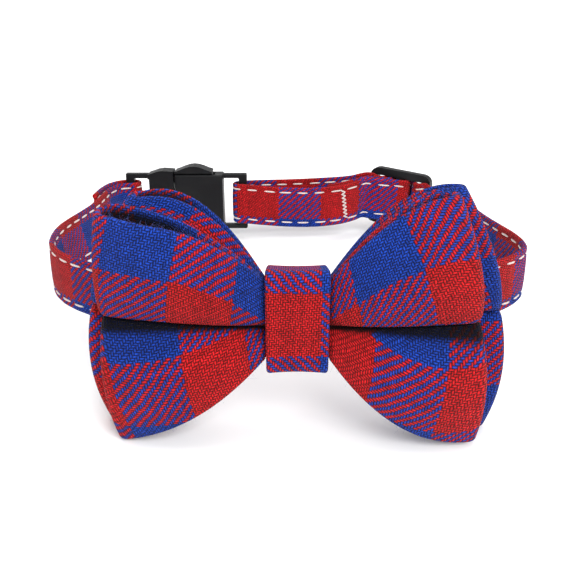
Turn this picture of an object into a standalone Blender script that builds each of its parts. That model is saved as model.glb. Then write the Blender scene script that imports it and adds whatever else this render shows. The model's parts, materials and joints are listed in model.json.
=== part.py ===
"""Pet bow tie collar: one plaid strap closed in a loop by a black breakaway buckle and a slide
adjuster, with two cloth bows, one behind the other, held on the strap by a knot band.

Lengths are in metres. The collar is drawn in its own frame: X to the right as the bow is seen, Y from
the bow towards the buckle, Z along the strap's width, the origin in the middle of the loop. The empty
"collar" then tips all of it onto the bow's lower corners and the buckle's lower edge, as it stands on
a table, with the world origin under the middle of it.
"""

import math

import bmesh
import bpy
import numpy as np
from mathutils import Vector

MM = 0.001
GAP = 0.3 * MM

# How the collar stands: its tilt about X, its roll about Y, and the shift that follows.
REST_TILT = math.radians(-8.93)
REST_ROLL = math.radians(-1.15)
REST_SHIFT = (0.71 * MM, 3.34 * MM, 14.33 * MM)

# Strap: doubled cloth, sewn along both edges.
STRAP_WIDTH = 10.0 * MM
STRAP_THICK = 1.2 * MM
BAR_RADIUS = 1.0 * MM
WRAP_RADIUS = 2.1 * MM
LAYER_PITCH = 1.55 * MM

# Buckle: its length runs along X, its middle is BUCKLE_AT.
BUCKLE_AT = (-24.9 * MM, 33.0 * MM, 0.6 * MM)
BUCKLE_LENGTH = 30.6 * MM
BUCKLE_HALF_HEIGHT = 7.0 * MM
BUCKLE_THICK = 5.2 * MM
SHOULDER_THICK = 4.6 * MM
FRAME_THICK = 2.0 * MM
FRAME_LENGTH = 6.2 * MM
FRAME_RAIL = 1.1 * MM
BAR_INSET = 1.3 * MM
SOCKET_MOUTH = 12.6 * MM
PLUG_SHOULDER_END = 12.2 * MM
PAD_END = 21.8 * MM
PAD_HALF_HEIGHT = 9.1 * MM
CAVITY_THICK = 2.8 * MM
CAVITY_END = 22.3 * MM
ARM_THICK = CAVITY_THICK - 2 * GAP
PLASTIC_BEVEL = 0.3 * MM

# Slide adjuster: three bars, turned to follow the loop's corner and drooping a little to its right.
SLIDE_AT = (28.7 * MM, 36.0 * MM, 0.5 * MM)
SLIDE_TURN = math.radians(-28.7)
SLIDE_DROOP = math.radians(5.0)
SLIDE_LENGTH = 16.0 * MM
SLIDE_HEIGHT = 14.4 * MM
SLIDE_THICK = 2.2 * MM
SLIDE_BAR = 2.0 * MM
SLIDE_WINDOW_HEIGHT = 10.7 * MM
SLIDE_CORNER = 2.2 * MM

# Bows and knot: X is measured from the knot's middle, and Y and Z in the collar's frame.
BOW_X = 1.65 * MM
CLOTH_THICK = 1.2 * MM
WAIST_HALF_WIDTH = 5.0 * MM
WAIST_TOP = 7.4 * MM
WAIST_BOTTOM = -5.3 * MM
KNOT_WIDTH = 9.7 * MM
KNOT_FRONT = -46.4 * MM
KNOT_BACK = -34.9 * MM
KNOT_TOP = 9.6 * MM
KNOT_BOTTOM = -7.9 * MM
KNOT_THICK = 1.0 * MM
KNOT_CORNER = 1.6 * MM
# How far the tops of the knot and of the gathered waist inside it fall for each length backwards.
KNOT_FALL = 0.26

# A wing's outline: its end's distance from the knot at the top edge, the crease and the bottom edge,
# the heights of the top and bottom edges there, and how much they arch on their way out. "gape" is
# how far the front and the back panel part at the top edge, and "dip" how far the front panel's top
# edge sags where they part. All are in millimetres but the arch.
FRONT_WINGS = {
    -1: {"end": (27.6, 29.8, 28.4), "high": (18.8, -20.4), "arch": (0.90, 0.55),
         "gape": (-2.4, 0.8), "dip": 1.5},
    1: {"end": (22.6, 27.9, 28.7), "high": (20.3, -20.9), "arch": (0.80, 0.95),
        "gape": (0.0, 0.2), "dip": 0.2},
}
REAR_WINGS = {
    -1: {"end": (24.4, 32.5, 30.6), "high": (19.2, -19.6), "arch": (1.28, 0.80),
         "gape": (1.4, 2.6), "dip": 0.5},
    1: {"end": (24.4, 32.4, 31.2), "high": (20.4, -20.9), "arch": (1.00, 0.95),
        "gape": (0.4, 0.8), "dip": 0.0},
}
# The crease runs outwards from the knot, and each wing has a lobe above it and one below it. Both
# bows nest on the same lobes, whose height and depth grow over the nominal reach.
NOMINAL_REACH = 30.0 * MM
CREASE_AT_WAIST = -0.4 * MM
CREASE_AT_END = {-1: 1.2 * MM, 1: 0.2 * MM}
LOBE_HEIGHT_AT_WAIST = 7.5 * MM
LOBE_HEIGHT_AT_END = 20.0 * MM
LOBE_DEPTH_AT_WAIST = 0.3 * MM
LOBE_DEPTH_AT_END = 3.6 * MM
# Y of each panel's crease, at the waist and at the nominal reach, from the front panel backwards.
FRONT_PANELS = ((-44.0 * MM, -41.3 * MM), (-42.3 * MM, -39.3 * MM))
REAR_PANELS = ((-40.6 * MM, -37.2 * MM), (-38.9 * MM, -35.2 * MM))
WING_STEPS = 8
HEIGHT_STEPS = 12
FOLD_STEPS = 2

FABRIC_RED = (0.62, 0.04, 0.05, 1.0)
FABRIC_BLUE = (0.03, 0.10, 0.42, 1.0)
PLASTIC_BLACK = (0.018, 0.018, 0.021, 1.0)


def clear_scene():
    for obj in list(bpy.data.objects):
        bpy.data.objects.remove(obj, do_unlink=True)


def new_collection(name):
    collection = bpy.data.collections.new(name)
    bpy.context.scene.collection.children.link(collection)
    return collection


def principled(name, colour, roughness, metallic=0.0):
    material = bpy.data.materials.new(name)
    material.use_nodes = True
    shader = material.node_tree.nodes["Principled BSDF"]
    shader.inputs["Base Color"].default_value = colour
    shader.inputs["Roughness"].default_value = roughness
    shader.inputs["Metallic"].default_value = metallic
    return material


def add_mesh(name, shape, collection, parent, material=None):
    """Turn a bmesh into a named object under the collar's empty."""
    bmesh.ops.recalc_face_normals(shape, faces=shape.faces)
    mesh = bpy.data.meshes.new(name)
    shape.to_mesh(mesh)
    shape.free()
    obj = bpy.data.objects.new(name, mesh)
    collection.objects.link(obj)
    obj.parent = parent
    if material:
        mesh.materials.append(material)
    return obj


def hide_cutter(obj):
    obj.hide_render = True
    obj.display_type = "WIRE"


def combine(target, other, operation):
    modifier = target.modifiers.new(f"{operation.lower()} {other.name}", "BOOLEAN")
    modifier.operation = operation
    modifier.object = other


def soften(obj, width, segments=2):
    bevel = obj.modifiers.new("soft edges", "BEVEL")
    bevel.width = width
    bevel.segments = segments
    bevel.limit_method = "ANGLE"
    bevel.angle_limit = math.radians(40)
    obj.data.shade_smooth()


def plate(name, outline, thickness, collection, parent, material=None):
    """A flat plate: an outline in X and Z, centred on Y = 0."""
    shape = bmesh.new()
    corners = [shape.verts.new((x, -thickness / 2, z)) for x, z in outline]
    face = shape.faces.new(corners)
    grown = bmesh.ops.extrude_face_region(shape, geom=[face])
    moved = [item for item in grown["geom"] if isinstance(item, bmesh.types.BMVert)]
    bmesh.ops.translate(shape, verts=moved, vec=(0, thickness, 0))
    return add_mesh(name, shape, collection, parent, material)


def rectangle(left, right, half_height):
    return [(left, -half_height), (right, -half_height), (right, half_height), (left, half_height)]


def rounded_rectangle(width, height, radius, steps=4):
    """The outline of a rectangle with round corners, anticlockwise, centred on the origin."""
    outline = []
    for quarter in range(4):
        middle = (quarter + 0.5) * math.pi / 2
        cx = math.copysign(width / 2 - radius, math.cos(middle))
        cz = math.copysign(height / 2 - radius, math.sin(middle))
        for step in range(steps + 1):
            angle = (quarter + step / steps) * math.pi / 2
            outline.append((cx + radius * math.cos(angle), cz + radius * math.sin(angle)))
    return outline


# ---------------------------------------------------------------------------------------------------
# The strap


def on_slide(along, inward, lift=0.0):
    """A route point given along the slide, towards the neck and upwards, in millimetres, drooping
    with the slide."""
    cos, sin = math.cos(SLIDE_TURN), math.sin(SLIDE_TURN)
    x = SLIDE_AT[0] / MM + along * cos + inward * sin
    y = SLIDE_AT[1] / MM + along * sin - inward * cos
    z = SLIDE_AT[2] / MM + lift - along * math.sin(SLIDE_DROOP)
    return (x, y, z, 0, 1)


def around_slide_bar(radius, first, last, steps):
    """Route points on an arc round the slide's middle bar, with angles in degrees."""
    points = []
    for step in range(steps + 1):
        angle = math.radians(first + (last - first) * step / steps)
        points.append(on_slide(radius * math.cos(angle), radius * math.sin(angle)))
    return points


def around(centre_x, centre_y, z, radius, first, last, steps):
    """Route points on a level arc, with angles in degrees."""
    points = []
    for step in range(steps + 1):
        angle = math.radians(first + (last - first) * step / steps)
        x = centre_x + radius * math.cos(angle)
        y = centre_y + radius * math.sin(angle)
        points.append((x, y, z, 0))
    return points


def strap_route():
    """The middle line of the strap from end to end: x, y, z in millimetres, the outward lean of its
    upper edge in degrees, and 1 where it droops with the slide."""
    wrap = WRAP_RADIUS / MM
    second = wrap + LAYER_PITCH / MM
    bar_y = BUCKLE_AT[1] / MM
    plug_bar = (BUCKLE_AT[0] - BUCKLE_LENGTH / 2 + BAR_INSET) / MM
    socket_bar = (BUCKLE_AT[0] + BUCKLE_LENGTH / 2 - BAR_INSET) / MM
    plug_loop = [
        (-44.3, 20.5, 0.3, -9), (-44.3, 26.5, 0.5, -4), (-43.4, 31.4, 0.6, -1),
        (-41.5, 34.2, 0.6, 0), (-39.6, 35.0, 0.6, 0),
    ]
    plug_loop += around(plug_bar, bar_y, 0.6, wrap, 90, -90, 6)
    left_side = [
        (-39.6, 30.8, 0.6, 0), (-41.1, 29.7, 0.6, 1), (-42.1, 27.0, 0.5, 4), (-42.3, 20.5, 0.3, 9),
        (-42.3, 13.0, 0, 15), (-43.0, 6.0, 0, 17), (-44.1, 0.0, 0, 12), (-45.0, -6.0, 0, 5),
        (-44.9, -11.5, 0, 0), (-43.4, -17.5, 0, 0), (-40.3, -22.7, 0, 0), (-36.0, -27.0, 0, 0),
        (-31.0, -30.3, 0, 0),
    ]
    front = [
        (-24.0, -32.9, 0, 0), (-16.0, -34.9, 0, 0), (-8.0, -36.4, 0, 0), (1.6, -37.0, 0, 0),
        (10.0, -36.5, 0, 0), (18.0, -35.1, 0, 0), (25.0, -33.1, 0, 0), (31.5, -30.4, 0, 0),
    ]
    right_side = [
        (37.0, -27.0, 0, 0), (41.0, -23.2, 0, 0), (43.5, -19.2, 0, 0), (44.1, -15.0, 0, 0),
        (43.7, -10.5, 0, 2), (42.7, -5.5, 0, 4), (41.6, 0.5, 0, 5), (40.8, 7.0, 0, 5),
        (40.1, 14.0, 0, 4), (39.1, 21.0, -0.2, 2), (37.5, 26.0, -0.4, 0), (36.0, 28.9, -0.3, 0),
    ]
    through_slide = [on_slide(7.0, wrap, 0.5), on_slide(5.2, 1.6)]
    through_slide += around_slide_bar(second, 0, -180, 8)
    through_slide += [on_slide(-4.1, 0.9), on_slide(-5.2, 1.7), on_slide(-7.0, wrap, 0.5)]
    outer_run = [
        (16.0, 38.2, 0.9, 0), (8.0, 37.4, 0.5, 0), (0.0, 36.7, 0.3, 0), (-6.0, 36.0, 0.3, 0),
    ]
    socket_turn = around(socket_bar, bar_y, 0.3, wrap, 90, 270, 6)
    inner_run = [
        (-5.5, 30.2, 0, 0), (0.0, 29.9, -0.3, 0), (8.0, 30.3, -0.4, 0), (14.5, 31.7, 0.1, 0),
        (17.2, 33.0, 0.5, 0), on_slide(-7.0, 5.5), on_slide(-5.0, 5.1), on_slide(-3.0, 4.2),
        on_slide(-1.3, 3.0),
    ]
    slide_wrap = around_slide_bar(wrap, 75, -180, 10)
    tail = [
        on_slide(-2.7, 1.5), on_slide(-3.8, 2.6), on_slide(-5.2, 3.4), on_slide(-7.0, 3.8),
        (17.2, 35.3, 0.7, 0), (13.8, 33.6, 0.2, 0), (10.7, 32.6, -0.1, 0),
    ]
    keys = plug_loop + left_side + front + right_side + through_slide
    keys += outer_run + socket_turn + inner_run + slide_wrap + tail
    return [key if len(key) == 5 else key + (0,) for key in keys]


def smooth_route(keys, per_span=16):
    """A cubic curve through the route's points, as closely spaced samples in metres and radians."""
    keys = np.array(keys, float) * (MM, MM, MM, math.pi / 180, 1)
    chord = np.linalg.norm(np.diff(keys[:, :2], axis=0), axis=1)
    knots = np.concatenate([[0.0], np.cumsum(chord)])
    slopes = np.gradient(keys, knots, axis=0)
    samples = []
    for i, span in enumerate(chord):
        for step in range(per_span):
            t = step / per_span
            samples.append(
                (2 * t**3 - 3 * t**2 + 1) * keys[i]
                + (t**3 - 2 * t**2 + t) * span * slopes[i]
                + (3 * t**2 - 2 * t**3) * keys[i + 1]
                + (t**3 - t**2) * span * slopes[i + 1]
            )
    samples.append(keys[-1])
    return np.array(samples)


def thin_out(samples, most_turn=math.radians(15), most_length=4.5 * MM):
    """Keep only the samples that the route's bends and length need."""
    heading = np.unwrap(np.arctan2(np.gradient(samples[:, 1]), np.gradient(samples[:, 0])))
    steps = np.linalg.norm(np.diff(samples[:, :2], axis=0), axis=1)
    kept = [0]
    for i in range(1, len(samples) - 1):
        turned = abs(heading[i + 1] - heading[kept[-1]])
        gone = steps[kept[-1] : i + 1].sum()
        if turned > most_turn or gone > most_length:
            kept.append(i)
    kept.append(len(samples) - 1)
    directions = np.stack([np.cos(heading[kept]), np.sin(heading[kept])], axis=1)
    return samples[kept], directions


def make_strap(collection, parent, material):
    samples, directions = thin_out(smooth_route(strap_route()))
    drooping = Vector((math.cos(SLIDE_TURN), math.sin(SLIDE_TURN), 0)) * math.sin(SLIDE_DROOP)
    shape = bmesh.new()
    rows = []
    for (x, y, z, lean, droop), (dx, dy) in zip(samples, directions):
        along = Vector((dx, dy, 0))
        outward = Vector((dy, -dx, 0))
        across = Vector((0, 0, 1)) * math.cos(lean) + outward * math.sin(lean) + drooping * droop
        across.normalize()
        through = along.cross(across).normalized()
        row = []
        for side, edge in ((-1, -1), (1, -1), (1, 1), (-1, 1)):
            place = through * (side * STRAP_THICK / 2) + across * (edge * STRAP_WIDTH / 2)
            row.append(shape.verts.new(Vector((x, y, z)) + place))
        rows.append(row)
    for here, there in zip(rows, rows[1:]):
        for i in range(4):
            j = (i + 1) % 4
            shape.faces.new((here[i], here[j], there[j], there[i]))
    shape.faces.new(rows[0])
    shape.faces.new(rows[-1])
    return add_mesh("strap", shape, collection, parent, material)


# ---------------------------------------------------------------------------------------------------
# The plastic pieces


def from_end(distance):
    """X in the buckle's own frame of a place measured from the plug's end."""
    return distance - BUCKLE_LENGTH / 2


def arch(first, last, low, high, steps=8):
    """A half wave from (first, low) over (middle, high) to (last, low)."""
    points = []
    for step in range(steps + 1):
        share = step / steps
        rise = math.sin(math.pi * share) ** 1.3
        points.append((first + (last - first) * share, low + (high - low) * rise))
    return points


def mirrored(upper):
    """A closed outline from its upper half, whose points run from left to right."""
    return [(x, -z) for x, z in upper] + [(x, z) for x, z in reversed(upper)]


def make_plug(collection, cutters, parent, material):
    window_left = from_end(BAR_INSET + BAR_RADIUS)
    window_right = from_end(FRAME_LENGTH)
    shoulder = mirrored([
        (from_end(5.9 * MM), 7.05 * MM),
        (from_end(6.9 * MM), 7.35 * MM),
        (from_end(8.2 * MM), 7.8 * MM),
        (from_end(9.5 * MM), 8.0 * MM),
        (from_end(11.0 * MM), 7.9 * MM),
        (from_end(PLUG_SHOULDER_END), 7.8 * MM),
    ])
    plug = plate("buckle_plug", shoulder, SHOULDER_THICK, collection, parent, material)
    frame = rectangle(from_end(BAR_INSET - BAR_RADIUS), from_end(7.0 * MM), BUCKLE_HALF_HEIGHT)
    additions = [plate("plug frame", frame, FRAME_THICK, cutters, parent)]
    tongue = rectangle(from_end(12.0 * MM), from_end(17.5 * MM), 1.5 * MM)
    additions.append(plate("plug tongue", tongue, ARM_THICK, cutters, parent))
    for side, name in ((1, "upper"), (-1, "lower")):
        arm = [
            (from_end(12.0 * MM), 4.8 * MM),
            (from_end(21.9 * MM), 5.2 * MM),
            (from_end(21.9 * MM), 6.9 * MM),
            (from_end(21.3 * MM), 7.55 * MM),
            (from_end(12.0 * MM), 7.55 * MM),
        ]
        pad = [(from_end(12.6 * MM), 7.32 * MM)]
        pad += arch(from_end(12.6 * MM), from_end(PAD_END), 7.75 * MM, PAD_HALF_HEIGHT)
        pad.append((from_end(PAD_END), 7.32 * MM))
        for outline, thickness, kind in ((arm, ARM_THICK, "arm"), (pad, SHOULDER_THICK, "pad")):
            turned = [(x, side * z) for x, z in outline]
            additions.append(plate(f"plug {name} {kind}", turned, thickness, cutters, parent))
    for addition in additions:
        hide_cutter(addition)
        combine(plug, addition, "UNION")
    window = rectangle(window_left, window_right, BUCKLE_HALF_HEIGHT - FRAME_RAIL)
    slot = plate("plug slot", window, 2 * BUCKLE_THICK, cutters, parent)
    hide_cutter(slot)
    combine(plug, slot, "DIFFERENCE")
    soften(plug, PLASTIC_BEVEL)
    plug.location = BUCKLE_AT
    for helper in additions + [slot]:
        helper.location = BUCKLE_AT
    return plug


def make_socket(collection, cutters, parent, material):
    body_end = BUCKLE_LENGTH - FRAME_LENGTH
    body = rectangle(from_end(SOCKET_MOUTH), from_end(body_end), BUCKLE_HALF_HEIGHT)
    socket = plate("buckle_socket", body, BUCKLE_THICK, collection, parent, material)
    frame_end = from_end(BUCKLE_LENGTH - BAR_INSET + BAR_RADIUS)
    frame = rectangle(from_end(body_end - 0.6 * MM), frame_end, BUCKLE_HALF_HEIGHT)
    rails = plate("socket frame", frame, FRAME_THICK, cutters, parent)
    combine(socket, rails, "UNION")
    mouth = from_end(SOCKET_MOUTH - 1 * MM)
    hollow = rectangle(mouth, from_end(CAVITY_END), 2 * BUCKLE_HALF_HEIGHT)
    cavity = plate("socket cavity", hollow, CAVITY_THICK, cutters, parent)
    combine(socket, cavity, "DIFFERENCE")
    window_right = from_end(BUCKLE_LENGTH - BAR_INSET - BAR_RADIUS)
    window = rectangle(from_end(body_end), window_right, BUCKLE_HALF_HEIGHT - FRAME_RAIL)
    slot = plate("socket slot", window, 2 * BUCKLE_THICK, cutters, parent)
    combine(socket, slot, "DIFFERENCE")
    soften(socket, PLASTIC_BEVEL)
    socket.location = BUCKLE_AT
    for helper in (rails, cavity, slot):
        hide_cutter(helper)
        helper.location = BUCKLE_AT
    return socket


def make_slide(collection, cutters, parent, material):
    outline = rounded_rectangle(SLIDE_LENGTH, SLIDE_HEIGHT, SLIDE_CORNER)
    slide = plate("strap_slide", outline, SLIDE_THICK, collection, parent, material)
    helpers = []
    inner = SLIDE_BAR / 2
    outer = SLIDE_LENGTH / 2 - SLIDE_BAR
    for name, left, right in (("left", -outer, -inner), ("right", inner, outer)):
        window = rectangle(left, right, SLIDE_WINDOW_HEIGHT / 2)
        cutter = plate(f"slide {name} window", window, 2 * SLIDE_THICK, cutters, parent)
        combine(slide, cutter, "DIFFERENCE")
        helpers.append(cutter)
    soften(slide, PLASTIC_BEVEL)
    for obj in [slide] + helpers:
        obj.location = SLIDE_AT
        obj.rotation_euler = (0, SLIDE_DROOP, SLIDE_TURN)
    for cutter in helpers:
        hide_cutter(cutter)
    return slide


# ---------------------------------------------------------------------------------------------------
# The bows and the knot


def between(first, last, share):
    return first + (last - first) * share


def arched(share, amount):
    """0 to 1, rising faster at first by the amount of arch."""
    return share + amount * share * (1 - share)


def lobe(height):
    """How far a wing's lobe stands forward at a height: 0 in the crease, 1 on its crest."""
    return math.sin(0.82 * math.pi * min(abs(height), 1.1) ** 0.75)


def wing_end(wing, height):
    """The wing's length at a height from 1, the top edge, through 0, the crease, to -1, the bottom."""
    top, middle, bottom = wing["end"]
    return MM * (middle + (top - bottom) / 2 * height + ((top + bottom) / 2 - middle) * height**2)


def wing_point(wing, side, panel, panels, out, height):
    """A point of a bow's panel. out runs from 0 at the knot's side to 1 at the wing's end, and is
    negative at the knot's middle."""
    fold_radius = (panels[1][1] - panels[0][1]) / 2
    reach = wing_end(wing, height) - fold_radius
    x = between(WAIST_HALF_WIDTH, reach, out) if out >= 0 else 0.0
    out = max(0.0, out)
    top, bottom = (MM * value for value in wing["high"])
    nominal = max(0.0, (x - WAIST_HALF_WIDTH) / (NOMINAL_REACH - WAIST_HALF_WIDTH))
    waist_top = WAIST_TOP - KNOT_FALL * (panels[panel][0] - FRONT_PANELS[0][0])
    crease = between(CREASE_AT_WAIST, CREASE_AT_END[side], nominal)
    if height >= 0:
        z = between(crease, between(waist_top, top, arched(out, wing["arch"][0])), height)
    else:
        z = between(crease, between(WAIST_BOTTOM, bottom, arched(out, wing["arch"][1])), -height)
    risen = 1 - (1 - min(1.0, nominal)) ** 3
    lobe_height = between(LOBE_HEIGHT_AT_WAIST, LOBE_HEIGHT_AT_END, risen)
    depth = between(LOBE_DEPTH_AT_WAIST, LOBE_DEPTH_AT_END, risen)
    y = between(panels[panel][0], panels[panel][1], nominal) - depth * lobe((z - crease) / lobe_height)
    opening = math.sin(math.pi * min(1.0, nominal))
    if height > 0:
        y += MM * wing["gape"][panel] * opening * min(1.0, (z - crease) / lobe_height) ** 1.5
    if height > 0 and panel == 0:
        z -= MM * wing["dip"] * opening * height**2
    return Vector((BOW_X + side * x, y, z))


def bow_ring(wings, panels):
    """The columns of a bow's cloth, once round: along the front panel, round the right fold, back
    along the rear panel and round the left fold. Each column runs from the bottom edge to the top."""
    heights = [-1 + 2 * row / HEIGHT_STEPS for row in range(HEIGHT_STEPS + 1)]
    shares = [-1.0] + [(step / WING_STEPS) ** 1.2 for step in range(WING_STEPS + 1)]
    columns = []
    for panel, outward in ((0, 1), (1, -1)):
        path = [(-outward, share) for share in reversed(shares)]
        path += [(outward, share) for share in shares[1:]]
        for side, share in path:
            columns.append([wing_point(wings[side], side, panel, panels, share, h) for h in heights])
        leaving = columns[-1]
        entering = [wing_point(wings[outward], outward, 1 - panel, panels, 1.0, h) for h in heights]
        for step in range(1, FOLD_STEPS + 1):
            angle = math.pi * step / (FOLD_STEPS + 1)
            column = []
            for first, last in zip(leaving, entering):
                point = (first + last) / 2 + (first - last) / 2 * math.cos(angle)
                point.x += outward * (last - first).length / 2 * math.sin(angle)
                column.append(point)
            columns.append(column)
    return columns


def make_bow(name, wings, panels, collection, parent, material):
    shape = bmesh.new()
    columns = [[shape.verts.new(point) for point in column] for column in bow_ring(wings, panels)]
    for here, there in zip(columns, columns[1:] + columns[:1]):
        for row in range(HEIGHT_STEPS):
            shape.faces.new((here[row], there[row], there[row + 1], here[row + 1]))
    bow = add_mesh(name, shape, collection, parent, material)
    cloth = bow.modifiers.new("cloth", "SOLIDIFY")
    cloth.thickness = CLOTH_THICK
    cloth.offset = 0.0
    bow.data.shade_smooth()
    return bow


def make_knot(collection, parent, material):
    """The knot band: a ring round both bows' waist and the strap, drawn in slightly in the middle."""
    middle_y = (KNOT_FRONT + KNOT_BACK) / 2
    middle_z = (KNOT_TOP + KNOT_BOTTOM) / 2
    depth = KNOT_BACK - KNOT_FRONT - KNOT_THICK
    tall = KNOT_TOP - KNOT_BOTTOM - KNOT_THICK
    outline = []
    for y, z in rounded_rectangle(depth, tall, KNOT_CORNER, steps=3):
        outline.append((y, z - KNOT_FALL * (y + depth / 2) * max(0.0, 2 * z / tall)))
    shape = bmesh.new()
    columns = []
    for across in (-1.0, -0.5, 0.0, 0.5, 1.0):
        drawn_in = 1 - 0.03 * (1 - across**2)
        x = BOW_X + across * KNOT_WIDTH / 2
        columns.append([shape.verts.new((x, middle_y + y, middle_z + z * drawn_in)) for y, z in outline])
    count = len(outline)
    for here, there in zip(columns, columns[1:]):
        for i in range(count):
            j = (i + 1) % count
            shape.faces.new((here[i], here[j], there[j], there[i]))
    knot = add_mesh("knot_band", shape, collection, parent, material)
    cloth = knot.modifiers.new("cloth", "SOLIDIFY")
    cloth.thickness = KNOT_THICK
    cloth.offset = 0.0
    knot.data.shade_smooth()
    return knot


def main():
    clear_scene()
    pieces = new_collection("pet bow tie collar")
    cutters = new_collection("cutters")
    collar = bpy.data.objects.new("collar", None)
    pieces.objects.link(collar)
    collar.rotation_euler = (REST_TILT, REST_ROLL, 0)
    collar.location = REST_SHIFT
    plaid = principled("plaid strap cloth", FABRIC_RED, 0.9)
    bow_cloth = principled("plaid bow cloth", FABRIC_BLUE, 0.9)
    knot_cloth = principled("plaid knot cloth", FABRIC_RED, 0.9)
    plastic = principled("black plastic", PLASTIC_BLACK, 0.5)
    make_strap(pieces, collar, plaid)
    make_plug(pieces, cutters, collar, plastic)
    make_socket(pieces, cutters, collar, plastic)
    make_slide(pieces, cutters, collar, plastic)
    make_bow("bow_front", FRONT_WINGS, FRONT_PANELS, pieces, collar, bow_cloth)
    make_bow("bow_rear", REAR_WINGS, REAR_PANELS, pieces, collar, bow_cloth)
    make_knot(pieces, collar, knot_cloth)


main()
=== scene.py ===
"""Looks of the pet bow tie collar: plaid twill cloth on the bows, the knot band and the strap, cream
running stitches, moulded black plastic, and a pale studio floor.

Shapes are worked out in millimetres in the collar's own frame: X to the right as the bow is seen, Y
from the bow towards the buckle, Z along the strap's width. settle() takes them to the row's frame.
"""

import json
import math

import bpy
import numpy as np
from mathutils import Euler, Matrix, Vector

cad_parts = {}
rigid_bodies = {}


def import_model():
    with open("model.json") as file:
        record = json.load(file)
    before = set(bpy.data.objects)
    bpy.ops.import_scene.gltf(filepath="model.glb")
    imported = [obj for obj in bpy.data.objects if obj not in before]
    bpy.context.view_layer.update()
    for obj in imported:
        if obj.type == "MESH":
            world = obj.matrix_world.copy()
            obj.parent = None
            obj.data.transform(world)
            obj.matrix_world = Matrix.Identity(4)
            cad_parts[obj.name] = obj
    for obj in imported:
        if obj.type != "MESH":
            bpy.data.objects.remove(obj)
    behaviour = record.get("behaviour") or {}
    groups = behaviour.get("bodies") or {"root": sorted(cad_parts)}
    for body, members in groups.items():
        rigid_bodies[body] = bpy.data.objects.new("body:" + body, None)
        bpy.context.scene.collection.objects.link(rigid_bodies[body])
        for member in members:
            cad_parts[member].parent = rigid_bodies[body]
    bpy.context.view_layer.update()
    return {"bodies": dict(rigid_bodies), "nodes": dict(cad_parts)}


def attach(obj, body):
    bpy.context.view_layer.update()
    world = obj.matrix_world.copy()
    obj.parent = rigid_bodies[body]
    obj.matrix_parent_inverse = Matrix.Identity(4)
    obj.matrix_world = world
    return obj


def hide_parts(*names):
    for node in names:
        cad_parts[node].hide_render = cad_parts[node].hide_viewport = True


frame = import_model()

MM = 0.001
rng = np.random.default_rng(12)

# --------------------------------------
# The collar's frame and its driving sizes in millimetres, as in the CAD model

REST = Matrix.Translation(Vector((0.71, 3.34, 14.33)) * MM)
REST = REST @ Euler((math.radians(-8.93), math.radians(-1.15), 0)).to_matrix().to_4x4()
REST = REST @ Matrix.Scale(MM, 4)

STRAP_WIDTH = 10.0
STRAP_THICK = 1.2
WRAP_RADIUS = 2.1
LAYER_PITCH = 1.55
BUCKLE_AT = (-24.9, 33.0)
BUCKLE_LENGTH = 30.6
BAR_INSET = 1.3
SLIDE_AT = (28.7, 36.0)
SLIDE_TURN = math.radians(-28.7)
SLIDE_DROOP = math.radians(5.0)
SLIDE_LIFT = 0.5

BOW_X = 1.65
CLOTH_THICK = 1.2
WAIST_HALF_WIDTH = 5.0
WAIST_TOP = 7.4
WAIST_BOTTOM = -5.3
KNOT_WIDTH = 9.7
KNOT_FRONT = -46.4
KNOT_BACK = -34.9
KNOT_TOP = 9.6
KNOT_BOTTOM = -7.9
KNOT_THICK = 1.0
KNOT_CORNER = 1.6
KNOT_FALL = 0.26
# A wing's outline: its end's distance from the knot at the top edge, the crease and the bottom edge,
# the heights of the top and bottom edges there, and how much they arch on their way out. "gape" is how
# far the front and the back panel move apart at the top edge and "dip" how far their edges sag there,
# "gape_at" draws the widest opening outwards, and "puff" fills out the front panel. The ends, heights
# and arches are the CAD model's, and the rest follows the cloth more closely than that does.
FRONT_WINGS = {
    -1: {"end": (27.6, 29.8, 28.4), "high": (18.8, -20.4), "arch": (0.90, 0.55),
         "gape": (-2.5, 0.4), "dip": (1.4, 0.5), "gape_at": 2.3, "puff": 1.3},
    1: {"end": (22.6, 27.9, 28.7), "high": (20.3, -20.9), "arch": (0.80, 0.95),
        "gape": (0.0, 0.2), "dip": (0.2, 0.0), "gape_at": 1.0, "puff": 1.3},
}
REAR_WINGS = {
    -1: {"end": (24.4, 32.5, 30.6), "high": (19.2, -19.6), "arch": (1.28, 0.80),
         "gape": (1.4, 2.6), "dip": (0.5, 0.0), "gape_at": 1.0, "puff": 0.0},
    1: {"end": (24.4, 32.4, 31.2), "high": (20.4, -20.9), "arch": (1.00, 0.95),
        "gape": (0.4, 0.8), "dip": (0.0, 0.0), "gape_at": 1.0, "puff": 0.0},
}
NOMINAL_REACH = 30.0
CREASE_AT_WAIST = -0.4
CREASE_AT_END = {-1: 1.2, 1: 0.2}
LOBE_HEIGHT = (7.5, 20.0)
LOBE_DEPTH = (0.3, 3.6)
# The lip of the upper lobe hangs over the crease: how far above the crease it is, and how far it sags.
LIP_AT = 1.5
LIP_SAG = 0.8
FRONT_PANELS = ((-44.0, -41.3), (-42.3, -39.3))
REAR_PANELS = ((-40.6, -37.2), (-38.9, -35.2))

# The painted shadow in the crease: how far below it the painted dark reaches near the knot and at
# the wings' ends, how far above it, and the share of that which is wholly dark.
CREASE_PAINTED_SHADE_AT_KNOT = 0.4
CREASE_PAINTED_SHADE_AT_END = {-1: 3.7, 1: 4.5}
CREASE_PAINTED_SHADE_ABOVE = 0.3
CREASE_PAINTED_SHADE_CORE = 0.62

# The cloth: its checks, and the yarns of its 2/2 twill, four of which make one diagonal. The yarns
# wander slowly, waver from one diagonal to the next, and show a little of the yarn beneath.
CHECK = 10.3
YARN = 0.36
WANDER = 0.5
WAVER = 0.16
SHOW_THROUGH = 0.03
# How far the painted shade in the bows' creases and hollows darkens the cloth.
PAINTED_SHADE_STRENGTH = 0.96
WEAVE_RELIEF = 0.22
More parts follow.
